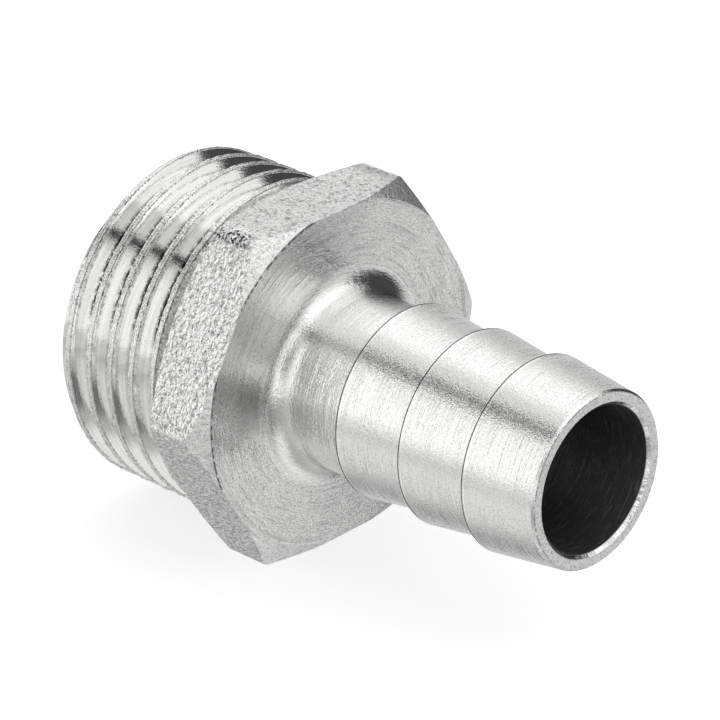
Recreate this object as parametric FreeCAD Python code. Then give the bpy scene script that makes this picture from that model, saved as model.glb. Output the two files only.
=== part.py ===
import FreeCAD, Part
import math
import os
from FreeCAD import Vector

# Hose tail: a parallel pipe thread, a spanner hexagon and a barbed tail in one piece of plated brass.
# All sizes are in millimetres and all angles in degrees.
# Each form is drawn as it stands in the lathe: Z is the turning axis and Z = 0 is the shoulder where the
# hexagon meets the thread, with the thread below it and the tail above.
# The finished piece is then laid down: X runs along the water way towards the hose, Z is up, and the
# origin is on the axis at the shoulder. It lies on one flat of its hexagon.

# Thread: parallel pipe thread, half inch size, 55 degree form
thread_diameter = 20.955
threads_per_inch = 14
thread_length = 9.5
flank_angle = 27.5
thread_end_chamfer = 0.9
thread_start_angle = 78.0

# Hexagon
across_flats = 21.5
hexagon_thickness = 4.7
hexagon_edge_radius = 0.4
chamfer_angle = 30.0
front_face_diameter = 21.9
shoulder_face_diameter = 21.4

# Tail for a 12 mm hose
tail_length = 20.25
shank_diameter = 11.0
shank_fillet = 1.5
barb_diameter = 12.2
barb_root_diameter = 10.9
barb_count = 3
barb_pitch = 4.97
tip_diameter = 11.0
tip_chamfer = 0.15

# Water way
bore_diameter = 9.1
mouth_chamfer = 0.22
inlet_diameter = 14.5
inlet_depth = 7.5
inlet_chamfer = 0.4
drill_point_angle = 118.0

# Sizes that follow from the ones above
pitch = 25.4 / threads_per_inch
thread_depth = 0.640327 * pitch
groove_clearance = 0.1
front_face = hexagon_thickness
tip = front_face + tail_length
thread_end = -thread_length


def tan(degrees):
    return math.tan(math.radians(degrees))


def line(start, end):
    return Part.makeLine(Vector(start[0], 0, start[1]), Vector(end[0], 0, end[1]))


def arc(start, middle, end):
    points = [Vector(r, 0, z) for r, z in (start, middle, end)]
    return Part.Arc(*points).toShape()


def turned(edges):
    """Closes a half section, given as (radius, height) edges, and turns it about the axis."""
    face = Part.Face(Part.Wire(Part.__sortEdges__(edges)))
    return face.revolve(Vector(0, 0, 0), Vector(0, 0, 1), 360)


def polyline(points):
    return [line(a, b) for a, b in zip(points, points[1:])]


def thread_blank():
    """The plain cylinder under the thread, chamfered where the nut starts."""
    outer = thread_diameter / 2
    outline = [
        (0, thread_end),
        (outer - thread_end_chamfer, thread_end),
        (outer, thread_end + thread_end_chamfer),
        (outer, 0),
        (0, 0),
        (0, thread_end),
    ]
    return turned(polyline(outline))


def thread_groove():
    """A flat-bottomed vee groove, swept one turn at a time past both ends of the thread."""
    outer = thread_diameter / 2
    mouth = outer + groove_clearance
    root = outer - thread_depth
    half_root = pitch / 4 - thread_depth / 2 * tan(flank_angle)
    half_mouth = half_root + (mouth - root) * tan(flank_angle)
    corners = [(mouth, -half_mouth), (root, -half_root), (root, half_root), (mouth, half_mouth)]
    section = Part.Wire(polyline(corners + corners[:1]))

    sweep = Part.BRepOffsetAPI.MakePipeShell(Part.Wire(Part.makeHelix(pitch, pitch, mouth).Edges))
    sweep.setBiNormalMode(Vector(0, 0, 1))
    sweep.add(section, False, False)
    sweep.build()
    sweep.makeSolid()
    one_turn = sweep.shape()
    one_turn.rotate(Vector(0, 0, 0), Vector(0, 0, 1), thread_start_angle)

    turns = []
    for i in range(math.ceil((thread_length + half_mouth) / pitch) + 1):
        turn = one_turn.copy()
        turn.translate(Vector(0, 0, thread_end + (i - 1) * pitch))
        turns.append(turn)
    return turns


def threaded_end():
    return thread_blank().cut(thread_groove())


def hexagon():
    """The forged hexagon: its corners are turned back at both faces by the chamfer angle."""
    corner = across_flats / math.sqrt(3)
    corners = [Vector(corner, 0, 0)]
    for i in range(1, 7):
        turn = math.radians(60 * i)
        corners.append(Vector(corner * math.cos(turn), corner * math.sin(turn), 0))
    prism = Part.Face(Part.makePolygon(corners)).extrude(Vector(0, 0, hexagon_thickness))
    upright = [e for e in prism.Edges if abs(e.tangentAt(e.FirstParameter).z) > 0.99]
    prism = prism.makeFillet(hexagon_edge_radius, upright)

    shoulder_r = shoulder_face_diameter / 2
    face_r = front_face_diameter / 2
    rise = tan(chamfer_angle)
    outline = [
        (0, 0),
        (shoulder_r, 0),
        (corner, (corner - shoulder_r) * rise),
        (corner, front_face - (corner - face_r) * rise),
        (face_r, front_face),
        (0, front_face),
        (0, 0),
    ]
    return prism.common(turned(polyline(outline)))


def tail():
    """Shank with its fillet, then barbs with the steep side towards the hexagon."""
    shank = shank_diameter / 2
    root = barb_root_diameter / 2
    rim = barb_diameter / 2
    nose = tip_diameter / 2
    first_rim = tip - barb_count * barb_pitch
    fillet_r = shank + shank_fillet
    fillet_z = front_face + shank_fillet
    reach = shank_fillet * math.sqrt(0.5)
    fillet = arc((fillet_r, front_face), (fillet_r - reach, fillet_z - reach), (shank, fillet_z))

    outline = [(shank, fillet_z), (shank, first_rim)]
    for i in range(barb_count):
        rim_z = first_rim + i * barb_pitch
        outline.append((rim, rim_z))
        if i < barb_count - 1:
            outline.append((root, rim_z + barb_pitch))
    outline += [(nose, tip - tip_chamfer), (nose - tip_chamfer, tip), (0, tip), (0, front_face)]
    outline.append((fillet_r, front_face))
    return turned([fillet] + polyline(outline))


def water_way():
    """The bore through the tail, opened out with a drill at the threaded end."""
    bore = bore_diameter / 2
    inlet = inlet_diameter / 2
    inlet_floor = thread_end + inlet_depth
    cone = (inlet - bore) / tan(drill_point_angle / 2)
    outline = [
        (0, thread_end),
        (inlet + inlet_chamfer, thread_end),
        (inlet, thread_end + inlet_chamfer),
        (inlet, inlet_floor),
        (bore, inlet_floor + cone),
        (bore, tip - mouth_chamfer),
        (bore + mouth_chamfer, tip),
        (0, tip),
        (0, thread_end),
    ]
    return turned(polyline(outline))


def hose_tail():
    body = threaded_end().fuse([hexagon(), tail()]).removeSplitter()
    body = body.cut(water_way())
    laid_down = FreeCAD.Rotation(Vector(1, 1, 1), 120)
    body.Placement = FreeCAD.Placement(Vector(0, 0, 0), laid_down)
    return body


os.makedirs("parts", exist_ok=True)
part = hose_tail()
part.exportStep("parts/hose_tail.step")
print("solids", len(part.Solids), "valid", part.isValid(), "volume mm3", round(part.Volume, 1))
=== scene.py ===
import bpy
import math
from mathutils import Matrix, Vector


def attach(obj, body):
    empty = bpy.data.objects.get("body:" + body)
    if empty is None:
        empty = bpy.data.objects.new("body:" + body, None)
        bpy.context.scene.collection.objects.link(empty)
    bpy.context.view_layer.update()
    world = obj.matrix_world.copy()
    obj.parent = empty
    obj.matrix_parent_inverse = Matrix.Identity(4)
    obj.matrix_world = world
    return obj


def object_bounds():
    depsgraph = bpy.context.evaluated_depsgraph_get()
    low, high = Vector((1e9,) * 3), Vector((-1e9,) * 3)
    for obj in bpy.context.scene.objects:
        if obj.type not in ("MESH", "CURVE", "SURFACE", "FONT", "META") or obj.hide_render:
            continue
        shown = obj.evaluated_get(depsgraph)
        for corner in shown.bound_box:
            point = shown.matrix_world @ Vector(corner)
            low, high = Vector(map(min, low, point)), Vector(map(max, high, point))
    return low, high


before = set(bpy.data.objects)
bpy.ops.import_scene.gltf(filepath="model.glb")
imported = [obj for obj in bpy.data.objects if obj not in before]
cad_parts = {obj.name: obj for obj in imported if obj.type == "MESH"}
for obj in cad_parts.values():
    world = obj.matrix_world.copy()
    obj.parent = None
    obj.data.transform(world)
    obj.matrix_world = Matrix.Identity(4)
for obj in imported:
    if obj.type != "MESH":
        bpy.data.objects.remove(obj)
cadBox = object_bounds()
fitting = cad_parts["hose_tail"]
print("frame loaded:", [round(v * 1000, 2) for v in (*cadBox[0], *cadBox[1])])


# shader maths: a value or vector socket that can stand in a sum
class ink:
    def __init__(self, tree, socket):
        self.tree = tree
        self.socket = socket

    def math(self, operation, *others):
        inputs = {i + 1: other for i, other in enumerate(others)}
        inputs[0] = self
        return nodesOf(self.tree).node("ShaderNodeMath", {"operation": operation}, inputs)

    def flipped(self, operation, other):
        return nodesOf(self.tree).node("ShaderNodeMath", {"operation": operation}, {0: other, 1: self})

    def __add__(self, other):
        return self.math("ADD", other)

    def __sub__(self, other):
        return self.math("SUBTRACT", other)

    def __mul__(self, other):
        return self.math("MULTIPLY", other)

    def __truediv__(self, other):
        return self.math("DIVIDE", other)

    def __rsub__(self, other):
        return self.flipped("SUBTRACT", other)

    def __rtruediv__(self, other):
        return self.flipped("DIVIDE", other)

    __radd__ = __add__
    __rmul__ = __mul__


class nodesOf:
    def __init__(self, tree):
        self.tree = tree

    # any node: its settings first, then values or links by socket name or number
    def node(self, kind, settings=None, inputs=None, output=0):
        made = self.tree.nodes.new(kind)
        for name, setting in (settings or {}).items():
            setattr(made, name, setting)
        for name, value in (inputs or {}).items():
            if isinstance(value, ink):
                self.tree.links.new(value.socket, made.inputs[name])
            else:
                made.inputs[name].default_value = value
        return ink(self.tree, made.outputs[output]) if made.outputs else made

    def vector(self, operation, *parts):
        settings = {"operation": operation}
        dotted = operation in ("DOT_PRODUCT", "LENGTH")
        inputs = dict(enumerate(parts))
        if operation == "SCALE":
            inputs = {0: parts[0], "Scale": parts[1]}
        return self.node("ShaderNodeVectorMath", settings, inputs, 1 if dotted else 0)

    def split(self, vector):
        made = self.node("ShaderNodeSeparateXYZ", None, {0: vector})
        outputs = made.socket.node.outputs
        return [ink(self.tree, outputs[i]) for i in range(3)]

    def join(self, x, y, z):
        return self.node("ShaderNodeCombineXYZ", None, {0: x, 1: y, 2: z})

    # 0 below the first edge, 1 above the second, soft between
    def ramp(self, value, low, high):
        settings = {"interpolation_type": "SMOOTHSTEP"}
        inputs = {"Value": value, "From Min": low, "From Max": high}
        return self.node("ShaderNodeMapRange", settings, inputs)

    def mix(self, factor, a, b, kind="RGBA"):
        settings = {"data_type": kind}
        first = {"RGBA": 6, "FLOAT": 2}[kind]
        output = {"RGBA": 2, "FLOAT": 0}[kind]
        return self.node("ShaderNodeMix", settings, {0: factor, first: a, first + 1: b}, output)

    def noise(self, vector, scale, detail, roughness):
        inputs = {"Vector": vector, "Scale": scale, "Detail": detail, "Roughness": roughness}
        return self.node("ShaderNodeTexNoise", {"noise_dimensions": "3D"}, inputs)


# nickel plate over brass: one material, its finish chosen by the place on the fitting
# places are in mm, and a pair gives where a soft edge starts and ends
platePlan = {
    "colour": (0.86, 0.857, 0.85, 1.0),
    "hexColour": (0.95, 0.947, 0.94, 1.0),
    "tipColour": (0.97, 0.967, 0.96, 1.0),
    # painted shade: the bore's darkness is put in its colour
    "boreShadeColour": (0.28, 0.279, 0.277, 1.0),
    "highlightAndScratchColour": (0.97, 0.967, 0.96, 1.0),    # painted glints on the hexagon, painted highlights on the crests of the thread and the lands of the barbs, and the bore's light scratches
    "paintedShadeColour": (0.05, 0.05, 0.052, 1.0),            # painted shade: in the root of the thread, at the barbs' rims and along the other dark lines
    "turnedRough": 0.10,
    "forgedRough": 0.28,
    "threadRough": 0.07,
    "tipRough": 0.45,
    "boreRough": 0.42,
    "filletPolish": 0.1,                         # how much smoother the fillet is

    # where each finish lies: along the axis, or out from it
    "tailFrom": (4.66, 4.69),
    "inletWall": 7.26,
    "boreWall": 4.56,
    "wallEdge": 0.04,
    "tipFrom": (24.92, 24.94),
    "hexagonFrom": (-0.02, 0.0),
    "threadTo": (-0.05, -0.03),
    "faceTo": (4.75, 5.2),
    "filletFrom": (4.72, 4.8),
    "filletTo": (5.9, 6.3),
    "crestFrom": (10.40, 10.44),
    "chamferFacing": (0.3, 0.6),                 # how far a surface has to face along the axis
    "stepFacing": (0.3, 0.6),
    "topFacing": (0.8, 0.95),

    # noise on the turned surfaces: per mm along, per mm round, detail, roughness
    "fineGrain": (60.0, 0.3, 1.0, 0.5),
    "lineGrain": (8.0, 0.12, 2.0, 0.6),
    "markGrain": (13.0, 7.0, 1.0, 0.5),
    "matGrain": (7.0, 3.0, 2.0, 0.6),
    "pockGrain": (15.0, 10.0, 2.0, 0.6),
    "scratchGrain": (9.0, 0.5, 2.0, 0.6),
    "grainRadius": 6.0,                          # mm, makes an angle round the axis a length
    # and all over: per mm, detail, roughness
    "patchGrain": (0.45, 1.0, 0.5),
    "blastGrain": (3.4, 2.0, 0.5),
    "gritGrain": (8.6, 2.0, 0.55),
    "speckGrain": (12.0, 1.0, 0.5),
    "chipGrain": (3.5, 2.0, 0.6),
    "edgeReflectionGrain": (6.0, 1.0, 0.5),

    # how far the turning marks tip the surface
    "fineSlope": 1.3,
    "lineSlope": 0.05,
    "faceLineSlope": 0.12,                       # added on patches of the front face
    "markSlope": 0.5,
    "landSlope": 0.10,                           # the lands stand a little steeper than the barbs
    "filletCalm": 0.65,                          # how much weaker the marks are there
    "faceCalm": 0.55,
    "faceMarkCalm": 0.5,
    "threadMarks": 0.06,                         # and how strong on the thread and inside
    "boreMarks": 0.4,
    "patchEdge": (0.42, 0.62),

    # rims of the barbs, each followed by a painted shadow line
    "firstRim": 10.04,
    "rimPitch": 4.97,
    "barbsFrom": (10.02, 10.03),
    "rimLine": (0.045, 0.105),
    "landFrom": (0.06, 0.1),
    "landTo": (0.21, 0.27),
    "stepLessShade": 0.5,                            # how much less painted shade the steep side gets

    # the hexagon's six edges are worn soft: the normal leans round beside them
    "cornerRadius": 12.4,                        # mm from the axis to an edge
    "edgeSoft": 0.42,
    "leanFrom": (0.1, 0.4),
    "leanTo": (0.3, 1.25),

    # depth of the grain
    "blastDepth": 0.13,
    "chamferBlast": 0.6,                         # how much shallower it is on the chamfers and the top
    "topBlast": 0.5,
    "gritDepth": 0.030,
    "matDepth": 0.022,
    "speckDepth": 0.012,
    "threadFine": 0.82,                          # how much shallower the fine grain is on the thread
    "crestDepth": 0.03,

    # painted shade and painted dark reflections: which way out from the axis, how far, how broken and
    # how strong
    "topLeftWay": (0.0, -0.66, 0.75),
    "leftWay": (0.0, -0.995, 0.1),
    "upLeftWay": (0.0, -0.87, 0.5),
    "edgeWay": (0.0, -0.5, 0.866),               # the edge between the top and the upper left flat
    "overTop": (0.84, 0.93),
    "upLeft": (0.1, 0.6),
    "rimShadeStrength": 0.97,
    "rootUpTo": (9.46, 9.74),
    "rootFrom": (-9.2, -9.1),
    "rootChips": (0.42, 0.5),
    "rootShadowStrength": (0.3, 0.65),                     # painted shadow in the root: everywhere, and added over the top
    "dotsFrom": (10.34, 10.38),
    "dotGrit": (0.5, 0.55),
    "dotChips": (0.4, 0.55),
    "dotShadowStrength": 0.95,
    "dotShare": (0.6, 0.4),                      # the same for the painted shadow dots along the crest
    "crestDots": 0.5,                            # how much fainter they are on top of it
    "lipFrom": (10.84, 10.9),
    "lipChips": (0.44, 0.5),
    "lipShadowStrength": 0.8,
    "tipEdgeFrom": (5.27, 5.31),
    "tipEdgeChips": (0.42, 0.52),
    "tipEdgeShadowStrength": 0.6,
    # a painted dark reflection beside one edge of the hexagon
    "edgeReflectionApart": (0.42, 0.58),
    "edgeReflectionTo": (3.2, 3.7),
    "edgeReflectionGaps": (0.50, 0.54),
    "edgeReflectionRound": (0.97, 0.98),
    "edgeReflectionDark": 0.97,

    # darker places: painted shade in the hexagon's pits, over the front face's upper left and in a
    # patch left of the fillet; scratches, scoring, pocks and grit are the plating's own marks
    "pits": (0.28, 0.52),
    "pitShade": 0.4,
    "gritShadeEdge": (0.36, 0.52),
    "gritShade": 0.42,
    "chamferLessShade": 0.4,
    "underWay": (0.0, -0.866, -0.5),             # the lower left flat is scratched aslant
    "underFacing": (0.9, 0.97),
    "scratchWay": (0.9, -0.22, 0.38),
    "steepWay": (-0.44, -0.45, 0.78),
    "scratchLong": 1.6,                          # per mm along the scratches, then across
    "scratchThin": 7.5,
    "underGrain": (1.0, 2.0, 0.6),
    "scratchEdge": (0.44, 0.54),
    "scratchDull": 0.38,
    "scored": (0.5, 0.62),
    "faceScored": 0.2,
    "threadScored": 0.12,
    "faceShadeFrom": (0.45, 0.85),
    "faceShade": 0.13,
    "darkPatchRound": (0.95, 0.995),
    "darkPatchFrom": (6.9, 7.2),
    "darkPatchTo": (8.2, 9.8),
    "darkPatchFade": 0.5,
    "darkPatchShade": 0.35,
    "pocks": (0.56, 0.66),
    "pockDull": 0.28,
    "threadPocks": 0.4,
    "tipGrit": (0.36, 0.54),
    "tipDull": 0.3,

    # painted glints and highlights, and the bore's light scratches
    "paintedGlints": (0.57, 0.64),
    "paintedGlintBright": 0.8,
    "crestHighlight": 0.4,
    "landHighlight": 0.6,
    "boreScratch": (0.56, 0.66),
    "boreScratchBright": 0.35,
}


# a point of the fitting: its place, the masks of the finishes there, and the grain
class platedPoint:
    def __init__(self, n, plan):
        self.n = n
        place = n.node("ShaderNodeTexCoord", None, None, 3)               # Object
        self.mm = n.vector("SCALE", place, 1000.0)
        self.x, self.y, self.z = n.split(self.mm)
        self.r = n.vector("LENGTH", n.join(0.0, self.y, self.z))
        self.around = n.join(0.0, self.y / self.r, self.z / self.r)
        self.facing = n.node("ShaderNodeNewGeometry", None, None, 1)      # Normal
        self.run = self.x - self.r       # a place that runs along the turned surface
        self.grainRadius = plan["grainRadius"]

        self.tail = n.ramp(self.x, *plan["tailFrom"])
        wall = n.mix(self.tail, plan["inletWall"], plan["boreWall"], "FLOAT")
        self.inside = 1 - n.ramp(self.r, wall, wall + plan["wallEdge"])
        outside = 1 - self.inside
        self.tip = n.ramp(self.x, *plan["tipFrom"]) * outside
        self.hexagon = n.ramp(self.x, *plan["hexagonFrom"]) * (1 - self.tail) * outside
        self.thread = (1 - n.ramp(self.x, *plan["threadTo"])) * outside
        self.turned = self.tail * outside * (1 - self.tip)
        self.face = self.tail * (1 - n.ramp(self.x, *plan["faceTo"])) * outside
        self.fillet = n.ramp(self.x, *plan["filletFrom"]) * (1 - n.ramp(self.x, *plan["filletTo"]))
        self.fillet = self.fillet * self.turned
        self.crest = self.thread * n.ramp(self.r, *plan["crestFrom"])
        self.chamfer = self.facingTo((1.0, 0.0, 0.0), plan["chamferFacing"])
        self.step = self.facingTo((-1.0, 0.0, 0.0), plan["stepFacing"])
        self.top = self.facingTo((0.0, 0.0, 1.0), plan["topFacing"])

        # mm from the hexagon's nearest edge, with its side as the sign
        sixth = math.radians(60)
        turns = (self.z.math("ARCTAN2", self.y) / sixth + 0.5).math("FRACT") - 0.5
        self.beside = turns * (sixth * plan["cornerRadius"])
        self.apart = self.beside.math("ABSOLUTE")

        # past the last rim of the barbs: a painted shadow line, then a narrow land
        past = ((self.x - plan["firstRim"]) / plan["rimPitch"]).math("FRACT") * plan["rimPitch"]
        barbs = self.turned * n.ramp(self.x, *plan["barbsFrom"])
        line = 1 - n.ramp(past, *plan["rimLine"])
        self.rimShade = barbs * line * (1 - self.step * plan["stepLessShade"])
        self.land = barbs * n.ramp(past, *plan["landFrom"]) * (1 - n.ramp(past, *plan["landTo"]))

        self.lines = self.ringNoise(plan["lineGrain"])
        self.blast = self.plainNoise(plan["blastGrain"])
        self.grit = self.plainNoise(plan["gritGrain"])
        self.chips = self.plainNoise(plan["chipGrain"])
        self.patches = n.ramp(self.plainNoise(plan["patchGrain"]), *plan["patchEdge"])

    def facingTo(self, way, edge):
        return self.n.ramp(self.n.vector("DOT_PRODUCT", self.facing, way), *edge)

    def roundTo(self, way):
        return self.n.vector("DOT_PRODUCT", self.around, way)

    def plainNoise(self, grain):
        return self.n.noise(self.mm, *grain)

    # noise drawn out round the axis
    def ringNoise(self, grain):
        perMm, roundPerMm, detail, roughness = grain
        along = self.n.join(self.run * perMm, 0.0, 0.0)
        spread = self.n.vector("SCALE", self.around, roundPerMm * self.grainRadius)
        return self.n.noise(self.n.vector("ADD", along, spread), 1.0, detail, roughness)


def plateNormal(n, plan, at):
    # turning marks run round the axis and tip the surface along it
    strength = at.turned * (1 - at.fillet * plan["filletCalm"]) * (1 - at.face * plan["faceCalm"])
    strength = strength + at.thread * plan["threadMarks"] + at.inside * plan["boreMarks"]
    fine = (at.ringNoise(plan["fineGrain"]) - 0.5) * plan["fineSlope"]
    lines = (at.lines - 0.5) * (plan["lineSlope"] + at.face * at.patches * plan["faceLineSlope"])
    marks = (at.ringNoise(plan["markGrain"]) - 0.5) * plan["markSlope"]
    marks = marks * (1 - at.face * plan["faceMarkCalm"])
    tipped = (fine + lines + marks) * strength - at.land * plan["landSlope"]

    lean = at.beside.math("SIGN") * n.ramp(at.apart, *plan["leanFrom"])
    lean = lean * (1 - n.ramp(at.apart, *plan["leanTo"])) * at.hexagon * (1 - at.chamfer)
    roundWay = n.vector("CROSS_PRODUCT", (1.0, 0.0, 0.0), at.around)
    across = n.vector("CROSS_PRODUCT", roundWay, at.facing)
    leaning = n.vector("SCALE", roundWay, lean * -plan["edgeSoft"])
    leaning = n.vector("ADD", n.vector("SCALE", across, tipped), leaning)
    ringNormal = n.vector("NORMALIZE", n.vector("ADD", at.facing, leaning))

    # grain: coarse and blasted on the forging, fine everywhere
    blast = at.blast * plan["blastDepth"]
    blast = blast * (1 - at.chamfer * plan["chamferBlast"]) * (1 - at.top * plan["topBlast"])
    height = (blast + at.grit * plan["gritDepth"]) * at.hexagon
    mat = at.ringNoise(plan["matGrain"]) * plan["matDepth"]
    speck = at.plainNoise(plan["speckGrain"]) * plan["speckDepth"]
    height = height + (mat + speck) * (1 - at.thread * plan["threadFine"])
    height = height + at.crest * at.grit * plan["crestDepth"]
    return n.node("ShaderNodeBump", None, {
        "Strength": 1.0, "Distance": 0.001, "Height": height, "Normal": ringNormal})


# painted shade: dark lines at the rims, broken ones along the thread, the face and the tip, and a
# painted dark reflection on one edge
def platePaintedShade(n, plan, at):
    overTop = n.ramp(at.roundTo(plan["topLeftWay"]), *plan["overTop"])
    upLeft = n.ramp(at.roundTo(plan["upLeftWay"]), *plan["upLeft"])

    # painted shadow in the thread's root, stronger over the top
    least, added = plan["rootShadowStrength"]
    root = at.thread * (1 - n.ramp(at.r, *plan["rootUpTo"])) * n.ramp(at.x, *plan["rootFrom"])
    root = root * n.ramp(at.chips, *plan["rootChips"]) * (least + overTop * added)

    # painted shadow dots along the crest's edges, stronger over the top
    least, added = plan["dotShare"]
    dotShadows = at.thread * n.ramp(at.r, *plan["dotsFrom"]) * n.ramp(at.grit, *plan["dotGrit"])
    dotShadows = dotShadows * n.ramp(at.chips, *plan["dotChips"]) * (1 - at.crest * plan["crestDots"])
    dotShadows = dotShadows * (least + overTop * added)

    # painted shadow line at the front face's outer edge, over the upper left only
    lipShadow = at.face * n.ramp(at.r, *plan["lipFrom"]) * n.ramp(at.chips, *plan["lipChips"]) * upLeft
    # painted shadow line at the tip's outer edge, over the upper left only
    tipEdgeShadow = at.tip * n.ramp(at.r, *plan["tipEdgeFrom"]) * upLeft
    tipEdgeShadow = tipEdgeShadow * n.ramp(at.chips, *plan["tipEdgeChips"])

    # painted dark reflection beside the hexagon's edge between the top and the upper left flat
    edgeReflection = at.hexagon * (1 - n.ramp(at.apart, *plan["edgeReflectionApart"]))
    edgeReflection = edgeReflection * (1 - n.ramp(at.x, *plan["edgeReflectionTo"]))
    edgeReflection = edgeReflection * n.ramp(at.plainNoise(plan["edgeReflectionGrain"]), *plan["edgeReflectionGaps"])
    edgeReflection = edgeReflection * n.ramp(at.roundTo(plan["edgeWay"]), *plan["edgeReflectionRound"])

    dark = (at.rimShade * plan["rimShadeStrength"]).math("MAXIMUM", root)
    dark = dark.math("MAXIMUM", dotShadows * plan["dotShadowStrength"])
    dark = dark.math("MAXIMUM", lipShadow * plan["lipShadowStrength"])
    dark = dark.math("MAXIMUM", tipEdgeShadow * plan["tipEdgeShadowStrength"])
    return dark.math("MAXIMUM", edgeReflection * plan["edgeReflectionDark"])


# how much darker the colour is: 1 where it is clean; painted shade in the hexagon's pits and on the
# front face, with the plating's own scratches, scoring, pocks and grit
def plateWearAndShade(n, plan, at):
    # painted shade in the low places of the hexagon's blast and grit, less on the chamfers
    cavityShade = (1 - n.ramp(at.blast, *plan["pits"])) * plan["pitShade"]
    cavityShade = cavityShade + (1 - n.ramp(at.grit, *plan["gritShadeEdge"])) * plan["gritShade"]
    wearAndShade = 1 - at.hexagon * cavityShade * (1 - at.chamfer * plan["chamferLessShade"])

    level = n.vector("DOT_PRODUCT", at.mm, plan["scratchWay"]) * plan["scratchLong"]
    steep = n.vector("DOT_PRODUCT", at.mm, plan["steepWay"]) * plan["scratchThin"]
    scratches = n.noise(n.join(level, steep, 0.0), *plan["underGrain"])
    under = at.hexagon * at.facingTo(plan["underWay"], plan["underFacing"])
    wearAndShade = wearAndShade * (1 - under * (1 - n.ramp(scratches, *plan["scratchEdge"])) * plan["scratchDull"])

    scored = at.face * at.patches * plan["faceScored"]
    scored = scored + at.thread * (1 - at.crest) * plan["threadScored"]
    wearAndShade = wearAndShade * (1 - scored * n.ramp(at.lines, *plan["scored"]))

    # painted shade over the front face's upper left
    upperLeftShade = n.ramp(at.roundTo(plan["topLeftWay"]), *plan["faceShadeFrom"]) * plan["faceShade"]
    wearAndShade = wearAndShade * (1 - at.face * upperLeftShade)
    # painted shade: a dark patch on the front face, left of the fillet
    darkPatch = n.ramp(at.roundTo(plan["leftWay"]), *plan["darkPatchRound"]) * n.ramp(at.r, *plan["darkPatchFrom"])
    darkPatch = darkPatch * (1 - n.ramp(at.r, *plan["darkPatchTo"]) * plan["darkPatchFade"])
    wearAndShade = wearAndShade * (1 - at.face * darkPatch * plan["darkPatchShade"])

    pocks = n.ramp(at.ringNoise(plan["pockGrain"]), *plan["pocks"]) * plan["pockDull"]
    wearAndShade = wearAndShade * (1 - pocks * (at.turned + at.tip + at.thread * plan["threadPocks"]))
    return wearAndShade * (1 - at.tip * (1 - n.ramp(at.grit, *plan["tipGrit"])) * plan["tipDull"])


def nickelPlate(plan):
    made = bpy.data.materials.new("nickelPlate")
    made.use_nodes = True
    tree = made.node_tree
    tree.nodes.clear()
    n = nodesOf(tree)
    at = platedPoint(n, plan)

    # painted glints on the hexagon and painted highlights on the crests and lands; the bore's
    # scratches are real
    paintedGlints = at.hexagon * n.ramp(at.grit, *plan["paintedGlints"]) * plan["paintedGlintBright"]
    scratch = at.inside * n.ramp(at.ringNoise(plan["scratchGrain"]), *plan["boreScratch"])
    highlightsAndScratches = paintedGlints.math("MAXIMUM", at.crest * plan["crestHighlight"])
    highlightsAndScratches = highlightsAndScratches.math("MAXIMUM", at.land * plan["landHighlight"])
    highlightsAndScratches = highlightsAndScratches.math("MAXIMUM", scratch * plan["boreScratchBright"])

    colour = n.mix(at.hexagon, plan["colour"], plan["hexColour"])
    # painted shade: the bore is darker in its colour
    colour = n.mix(at.inside, colour, plan["boreShadeColour"])
    colour = n.mix(at.tip, colour, plan["tipColour"])
    colour = n.mix(highlightsAndScratches, colour, plan["highlightAndScratchColour"])
    # painted shade and painted dark reflections mixed into the colour
    colour = n.mix(platePaintedShade(n, plan, at), colour, plan["paintedShadeColour"])
    wearAndShade = plateWearAndShade(n, plan, at)
    colour = n.vector("MULTIPLY", colour, n.join(wearAndShade, wearAndShade, wearAndShade))

    rough = at.turned * (plan["turnedRough"] - at.fillet * plan["filletPolish"])
    rough = rough + at.hexagon * plan["forgedRough"] + at.thread * plan["threadRough"]
    rough = rough + at.tip * plan["tipRough"] + at.inside * plan["boreRough"]

    normal = plateNormal(n, plan, at)
    shader = n.node("ShaderNodeBsdfPrincipled", None, {
        "Base Color": colour, "Metallic": 1.0, "Roughness": rough, "Normal": normal})
    n.node("ShaderNodeOutputMaterial", None, {"Surface": shader})
    return made


plate = nickelPlate(platePlan)
for i in range(len(fitting.data.materials)):
    fitting.data.materials[i] = plate
print("plating done")


# burrs that the cutter left along both edges of the thread's crest
burrPlan = {
    "radius": 0.010478,          # where the crest lies
    "pitch": 0.0018143,
    "startAngle": 78.0,          # round from +Y towards +Z, where a groove leaves the end
    "end": -0.0095,
    "crestHalf": 0.00013,
    "thickness": 0.000045,
    "sides": 6,
    "stepsPerTurn": 260,
    "from": -0.0085,
    "to": -0.00005,
    "ragged": 0.00014,           # how far its surface is pushed about, and how coarsely
    "raggedSize": 0.00022,
}


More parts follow.
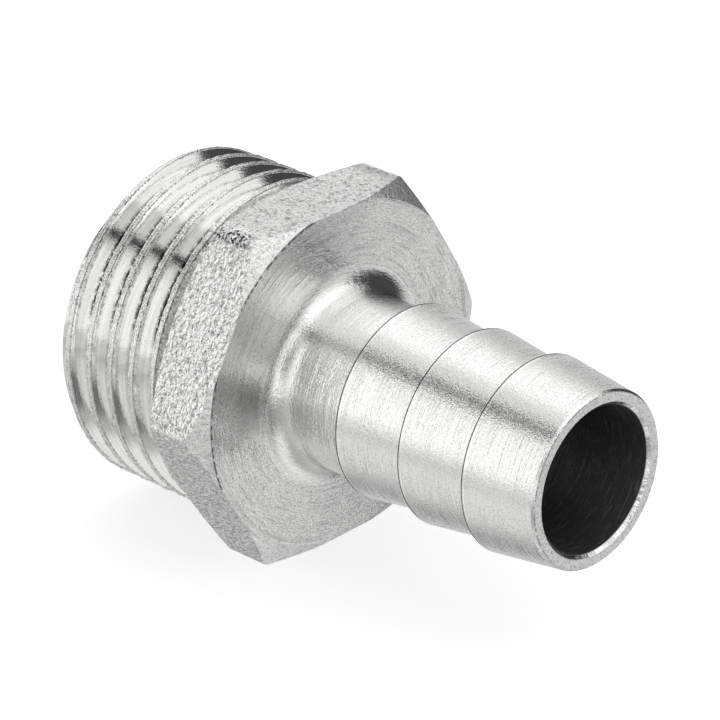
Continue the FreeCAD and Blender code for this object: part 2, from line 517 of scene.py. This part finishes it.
def addCrestBurr(name, plan, side):
    length = plan["to"] - plan["from"]
    turns = length / plan["pitch"]
    crestAtStart = plan["end"] + plan["pitch"] / 2 + side * plan["crestHalf"]
    past = (plan["from"] - crestAtStart) / plan["pitch"]
    angle = math.radians(plan["startAngle"] + past * 360.0)

    # a small ring where the crest's edge starts, screwed along the axis and then made ragged
    bpy.ops.object.select_all(action="DESELECT")
    bpy.ops.mesh.primitive_circle_add(
        vertices=plan["sides"], radius=plan["thickness"], location=(plan["from"], plan["radius"], 0.0))
    burr = bpy.context.object
    burr.name = name
    bpy.ops.object.transform_apply(location=True, rotation=True, scale=True)
    burr.data.transform(Matrix.Rotation(angle, 4, "X"))
    screw = burr.modifiers.new("run", "SCREW")
    screw.axis = "X"
    screw.angle = math.radians(360.0) * turns
    screw.screw_offset = length
    screw.steps = int(plan["stepsPerTurn"] * turns)
    screw.render_steps = screw.steps
    bpy.ops.object.modifier_apply(modifier="run")
    cloud = bpy.data.textures.new(name + "Cloud", "CLOUDS")
    cloud.noise_scale = plan["raggedSize"]
    cloud.noise_depth = 1
    rag = burr.modifiers.new("rag", "DISPLACE")
    rag.texture = cloud
    rag.texture_coords = "LOCAL"
    rag.strength = plan["ragged"]
    rag.mid_level = 0.5
    bpy.ops.object.modifier_apply(modifier="rag")

    # both ends closed
    bpy.ops.object.mode_set(mode="EDIT")
    bpy.ops.mesh.select_all(action="SELECT")
    bpy.ops.mesh.edge_face_add()
    bpy.ops.mesh.select_all(action="SELECT")
    bpy.ops.mesh.normals_make_consistent(inside=False)
    bpy.ops.object.mode_set(mode="OBJECT")
    bpy.ops.object.shade_smooth()
    burr.data.materials.append(plate)
    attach(burr, "root")
    return burr


for burrName, side in {"nearBurr": 1, "farBurr": -1}.items():
    burr = addCrestBurr(burrName, burrPlan, side)
    print(burrName, len(burr.data.polygons), "faces")


# the camera of the photograph, fitted to the outline
cameraPlan = {
    "place": (0.17962, -0.17658, 0.12590),
    "right": (0.72123, 0.69233, -0.02253),
    "up": (-0.29654, 0.33799, 0.89321),
    "lens": 232.90,
    "sensor": 36.0,
    "nearest": 0.01,
}


def addCamera(plan):
    data = bpy.data.cameras.new("photoCamera")
    data.lens = plan["lens"]
    data.sensor_width = plan["sensor"]
    data.clip_start = plan["nearest"]
    made = bpy.data.objects.new("photoCamera", data)
    bpy.context.scene.collection.objects.link(made)
    right = Vector(plan["right"])
    up = Vector(plan["up"])
    turn = Matrix((right, up, right.cross(up))).transposed()
    made.matrix_world = Matrix.Translation(plan["place"]) @ turn.to_4x4()
    bpy.context.scene.camera = made


addCamera(cameraPlan)


# pale floor under the lowest flat of the hexagon: white to the camera where no shadow lies
floorPlan = {"size": 8.0, "colour": (0.5, 0.5, 0.5, 1.0), "glow": 0.68}


def addFloor(plan):
    bpy.ops.object.select_all(action="DESELECT")
    bpy.ops.mesh.primitive_plane_add(size=plan["size"], location=(0, 0, cadBox[0].z))
    floor = bpy.context.object
    floor.name = "floor"
    made = bpy.data.materials.new("floorPaper")
    made.use_nodes = True
    made.node_tree.nodes.clear()
    n = nodesOf(made.node_tree)
    seen = n.node("ShaderNodeLightPath")
    paper = n.node("ShaderNodeBsdfDiffuse", None, {"Color": plan["colour"]})
    glow = n.node("ShaderNodeEmission", None, {"Strength": seen * plan["glow"]})
    shader = n.node("ShaderNodeAddShader", None, {0: paper, 1: glow})
    n.node("ShaderNodeOutputMaterial", None, {"Surface": shader})
    floor.data.materials.append(made)
    floor.visible_glossy = False     # the metal mirrors the studio all round, the ground included
    floor.visible_shadow = False


addFloor(floorPlan)


# the studio round the fitting, by direction: degrees from +X towards +Y, then degrees up
studioPlan = {
    "level": 0.8,                # of all the light that follows
    "walls": 1.05,
    "ground": 0.6,
    "horizon": (-14.5, -12.9),   # where the ground passes into the walls
    # name: middle and half width round, from and to up, soft edge, brightness
    "zones": {
        "nearGround": (4.5, 56.0, -70.0, -45.0, 3.5, 1.12),
        "leftGround": (-118.0, 24.0, -60.0, -17.0, 10.5, 1.1),
        "backWall": (100.0, 76.0, -44.0, 47.0, 8.0, 0.88),
        "behind": (-160.0, 18.0, -34.0, 46.0, 9.0, 0.58),
        "topBack": (135.0, 39.0, 42.0, 99.0, 3.0, 1.62),
        "topFront": (19.0, 47.0, 17.0, 66.0, 2.6, 1.62),
        "wallLeft": (-29.0, 19.0, -17.0, 4.0, 4.0, 1.45),
        "frontGround": (-18.0, 9.0, -38.0, -24.0, 2.0, 0.22),
        "faceGround": (45.0, 20.0, -40.0, -15.0, 3.0, 1.15),
        "cameraSide": (-46.0, 13.0, 4.0, 40.0, 5.0, 0.4),
        "cameraLow": (-44.0, 13.0, -36.0, -18.0, 3.0, 0.5),
        "frontLow": (42.0, 16.5, 4.0, 25.0, 9.0, 1.2),
        "leftBox": (-107.0, 24.0, -3.0, 56.0, 1.0, 1.56),
        "beam": (-95.0, 46.0, 51.0, 64.0, 2.5, 0.42),
        "lowCard": (76.0, 17.0, -53.0, -33.0, 3.2, 0.10),
        "sideCard": (82.0, 31.5, -13.0, 30.5, 0.9, 0.08),
        "rearGround": (165.0, 26.0, -51.0, -24.0, 3.0, 0.95),
        "underRear": (178.0, 34.0, -85.0, -58.0, 3.5, 0.36),
    },
    "stripAxis": (0.0, -0.7826, -0.6225),   # a dark strip bent round this direction
    "stripAngle": 102.65,
    "stripEdge": (1.62, 3.78),
    "stripBrightness": 0.05,
}


def addStudio(plan):
    world = bpy.data.worlds.new("studio")
    bpy.context.scene.world = world
    world.use_nodes = True
    tree = world.node_tree
    tree.nodes.clear()
    n = nodesOf(tree)
    way = n.node("ShaderNodeTexCoord")
    dx, dy, dz = n.split(way)
    turn = dy.math("ARCTAN2", dx) * math.degrees(1)
    up = dz.math("ARCSINE") * math.degrees(1)

    light = n.mix(n.ramp(up, *plan["horizon"]), plan["ground"], plan["walls"], "FLOAT")
    for middle, half, low, high, soft, brightness in plan["zones"].values():
        aside = (turn - middle).math("WRAP", 180.0, -180.0).math("ABSOLUTE")
        within = 1 - n.ramp(aside, half - soft, half + soft)
        within = within * n.ramp(up, low - soft, low + soft)
        within = within * (1 - n.ramp(up, high - soft, high + soft))
        light = n.mix(within, light, brightness, "FLOAT")

    bend = n.vector("DOT_PRODUCT", way, plan["stripAxis"]).math("ARCCOSINE") * math.degrees(1)
    off = (bend - plan["stripAngle"]).math("ABSOLUTE")
    strip = 1 - n.ramp(off, *plan["stripEdge"])
    light = n.mix(strip, light, plan["stripBrightness"], "FLOAT")

    # the camera sees plain white behind the floor
    seen = n.node("ShaderNodeLightPath")
    strength = n.mix(seen, light * plan["level"], 1.0, "FLOAT")
    white = (1.0, 1.0, 1.0, 1.0)
    back = n.node("ShaderNodeBackground", None, {"Color": white, "Strength": strength})
    n.node("ShaderNodeOutputWorld", None, {"Surface": back})


addStudio(studioPlan)

scene = bpy.context.scene
scene.view_settings.view_transform = "Standard"
print("stage done")
